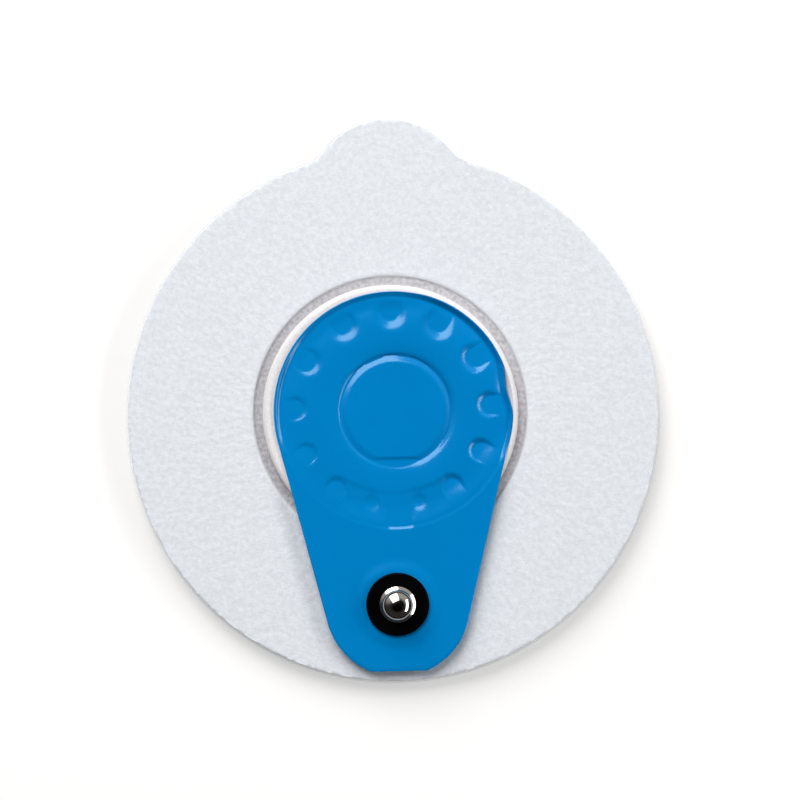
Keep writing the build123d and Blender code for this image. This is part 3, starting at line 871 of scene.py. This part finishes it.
foamTop = foamHigh.z
levelSlack = 0.01 * mm  # points this near the top count as the face that is pressed
pressedBelow = relief | {"Pull In": 0.0, "Strip Slot": relief["Strip Thickness"]}
foamFlat = foam["outerRadius"] - foam["shoulderRun"] * foam["shoulder"]
foamPath = bentPath([
    (foam["innerRadius"], foamLow.z),
    (foam["outerRadius"], foamLow.z, foam["footBend"]),
    (foam["outerRadius"], foamTop, foam["shoulder"]),
    (foamFlat, foamTop)], steps=8)
for step in range(1, foam["rings"] + 1):
    foamPath.append(Vector((foamFlat + (foam["innerRadius"] - foamFlat) * step / foam["rings"], foamTop)))
foamPiece = turnedPiece("foam_collar", foamPath, wellAxis, foam["rays"], True, foamMaterial)
foamPressed = [float(z > foamTop - levelSlack) for r, z in foamPath]
setWeights(foamPiece, "pressed", foamPressed * foam["rays"])
runTree(foamPiece, reliefTree, pressedBelow | {"Drop": foam["clearance"], "Material": foamMaterial})
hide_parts("foam_ring")
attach(foamPiece, "root")
print("foam done", len(foamPiece.data.polygons), "faces")

# Gel sponge: open-cell foam soaked with wet gel. Yellowish white, glistening, full of pores
sponge = {
    "radius": (spongeHigh.x - spongeLow.x) / 2,
    "edge": 0.5 * mm,
    "rays": 240,
    "rings": 26,
    "clearance": 0.01 * mm,
    "soaked": "#e9e4d4",
    "pore": "#cfc8b2",
    "poreSize": 0.6 * mm,
}
spongeMaterial, spongeShader, addSponge, spongePlace = startMaterial("gel_soaked_sponge", {
    "Roughness": 0.3, "Subsurface Weight": 0.3, "Subsurface Scale": 1.5 * mm, "Coat Weight": 0.4})
spongePores = addSponge("TexVoronoi", {"Vector": spongePlace, "Scale": 1 / sponge["poreSize"]})
spongeColour = addSponge("Mix", {
    "Factor": spongePores, "A": linear(sponge["pore"]), "B": linear(sponge["soaked"])}, data_type="RGBA")
spongeBump = addSponge("Bump", {"Height": spongePores, "Strength": 0.6, "Distance": 0.15 * mm})
feed(spongeShader, {"Base Color": spongeColour, "Normal": spongeBump})

spongeTop = foamTop
spongePath = bentPath([
    (0, spongeLow.z),
    (sponge["radius"], spongeLow.z, sponge["edge"]),
    (sponge["radius"], spongeTop)])
for step in range(1, sponge["rings"] + 1):
    spongePath.append(Vector((sponge["radius"] * (1 - step / sponge["rings"]), spongeTop)))
spongePiece = turnedPiece("sponge_pad", spongePath, wellAxis, sponge["rays"], False, spongeMaterial)
setWeights(spongePiece, "pressed", [
    float(vertex.co.z > spongeTop - levelSlack) for vertex in spongePiece.data.vertices])
runTree(spongePiece, reliefTree, pressedBelow | {"Drop": sponge["clearance"], "Material": spongeMaterial})
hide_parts("gel_sponge")
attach(spongePiece, "root")
print("sponge done", len(spongePiece.data.polygons), "faces")

# Sensor: film printed with silver and silver chloride ink. Dull warm grey, slightly streaked
sensor = {"ink": "#9a948c", "streak": "#857f78", "streakSize": 0.8 * mm}
inkMaterial, inkShader, addInk, inkPlace = startMaterial("silver_chloride_ink", {
    "Roughness": 0.55, "Metallic": 0.35})
inkNoise = addInk("TexNoise", {"Vector": inkPlace, "Scale": 1 / sensor["streakSize"], "Detail": 4.0})
inkColour = addInk("Mix", {
    "Factor": inkNoise, "A": linear(sensor["ink"]), "B": linear(sensor["streak"])}, data_type="RGBA")
feed(inkShader, {"Base Color": inkColour})
sensorNode = bpy.data.objects["sensor_strip"]
for inkSlot in sensorNode.material_slots:
    inkSlot.material = inkMaterial
print("sensor dressed")

# Washer under the stud: black ABS, moulded. Deep black with a faint grain
washer = {
    "radius": (washerHigh.x - washerLow.x) / 2,
    "holeRadius": 1.35 * mm,
    "edge": 0.22 * mm,
    "footBend": 0.06 * mm,
    "rays": 160,
    "black": "#010102",
    "grainSize": 0.25 * mm,
    "grainRange": (0.3, 0.7),
    "roughness": (0.36, 0.5),
}
absMaterial, absShader, addAbs, absPlace = startMaterial("black_abs_moulded", {
    "Base Color": linear(washer["black"]), "Specular IOR Level": 0.04})
absGrain = addAbs("TexNoise", {"Vector": absPlace, "Scale": 1 / washer["grainSize"], "Detail": 3.0})
absRough = addAbs("MapRange", [absGrain, *washer["grainRange"], *washer["roughness"]])
absBump = addAbs("Bump", {"Height": absGrain, "Strength": 0.15, "Distance": 0.02 * mm})
feed(absShader, {"Roughness": absRough, "Normal": absBump})

washerPath = bentPath([
    (washer["holeRadius"], washerLow.z),
    (washer["radius"], washerLow.z, washer["footBend"]),
    (washer["radius"], washerHigh.z, washer["edge"]),
    (washer["holeRadius"], washerHigh.z)])
washerPiece = turnedPiece("snap_washer", washerPath, snapAxis, washer["rays"], True, absMaterial)
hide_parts("stud_washer")
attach(washerPiece, "root")
print("washer done", len(washerPiece.data.polygons), "faces")

# Snap: brass, drawn, riveted and nickel plated. Bright mirror with fine turning marks
snap = {
    "nickel": "#d2ccc4",
    "worn": "#b8b1a8",
    "markSize": 0.5 * mm,
    "markRange": (0.3, 0.7),
    "roughness": (0.06, 0.16),
    "rays": 160,
    "baseHeight": 0.3 * mm,
    "baseEdge": 0.12 * mm,
    "baseBend": 0.05 * mm,
    "coneRise": 0.18 * mm,  # the foot's cone runs up the neck
    "neckRadius": 1.65 * mm,
    "neckBend": 0.12 * mm,
    "undercut": 0.1 * mm,
    "flare": 0.25 * mm,
    "flareBend": 0.15 * mm,
    "headRadius": 1.95 * mm,
    "headHeight": 0.6 * mm,
    "crown": 0.9 * mm,
    "corner": 0.3 * mm,
    "domeShares": (0.8, 0.65, 0.5, 0.35, 0.2, 0.1, 0.0),  # of the head's radius, in to the axis
    "boreRadius": 1.25 * mm,
    "topWall": 0.65 * mm,
    "postRadius": 1.2 * mm,
    "postWall": 0.35 * mm,
    "flangeThickness": 0.3 * mm,
    "rivetBend": 0.1 * mm,
    "mouthBend": 0.12 * mm,
}
nickelMaterial, nickelShader, addNickel, nickelPlace = startMaterial("nickel_plated_brass", {"Metallic": 1.0})
nickelMarks = addNickel("TexNoise", {"Vector": nickelPlace, "Scale": 1 / snap["markSize"], "Detail": 4.0})
nickelColour = addNickel("Mix", {
    "Factor": nickelMarks, "A": linear(snap["nickel"]), "B": linear(snap["worn"])}, data_type="RGBA")
nickelRough = addNickel("MapRange", [nickelMarks, *snap["markRange"], *snap["roughness"]])
feed(nickelShader, {"Base Color": nickelColour, "Roughness": nickelRough})

studBase = (studHigh.x - studLow.x) / 2
crownZ = studHigh.z - snap["crown"]
footZ = studLow.z + snap["baseHeight"]
landZ = crownZ - snap["headHeight"]
cavityZ = studHigh.z - snap["topWall"]
domeRadius = (snap["headRadius"] ** 2 + snap["crown"] ** 2) / (2 * snap["crown"])
domeRadii = [share * snap["headRadius"] for share in snap["domeShares"]]
dome = [(r, studHigh.z - domeRadius + sqrt(domeRadius**2 - r**2)) for r in domeRadii]
studPath = bentPath([
    (0, cavityZ),
    (snap["boreRadius"], cavityZ),
    (snap["boreRadius"], studLow.z),
    (studBase, studLow.z, snap["baseBend"]),
    (studBase, studLow.z + snap["baseEdge"], snap["baseBend"]),
    (snap["neckRadius"], footZ + snap["coneRise"], snap["neckBend"]),
    (snap["neckRadius"], landZ - snap["undercut"], snap["neckBend"]),
    (snap["headRadius"], landZ + snap["flare"], snap["flareBend"]),
    (snap["headRadius"], crownZ, snap["corner"]),
    dome[0]], steps=8)
studPath += [Vector(point) for point in dome[1:]]
studPiece = turnedPiece("stud_shell", studPath, snapAxis, snap["rays"], False, nickelMaterial)
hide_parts("snap_stud")

flangeRadius = (eyeletHigh.x - eyeletLow.x) / 2
flangeTop = eyeletLow.z + snap["flangeThickness"]
postInner, postTop = snap["postRadius"] - snap["postWall"], eyeletHigh.z - snap["postWall"]
eyeletPath = bentPath([
    (0, postTop),
    (postInner, postTop, snap["rivetBend"]),
    (postInner, eyeletLow.z, snap["mouthBend"]),
    (flangeRadius, eyeletLow.z, snap["rivetBend"]),
    (flangeRadius, flangeTop, snap["rivetBend"]),
    (snap["postRadius"], flangeTop),
    (snap["postRadius"], eyeletHigh.z, snap["rivetBend"]),
    (0, eyeletHigh.z)])
eyeletPiece = turnedPiece("eyelet_rivet", eyeletPath, snapAxis, snap["rays"], False, nickelMaterial)
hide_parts("snap_eyelet")
for piece in (studPiece, eyeletPiece):
    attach(piece, "root")
print("snap done", len(studPiece.data.polygons) + len(eyeletPiece.data.polygons), "faces")
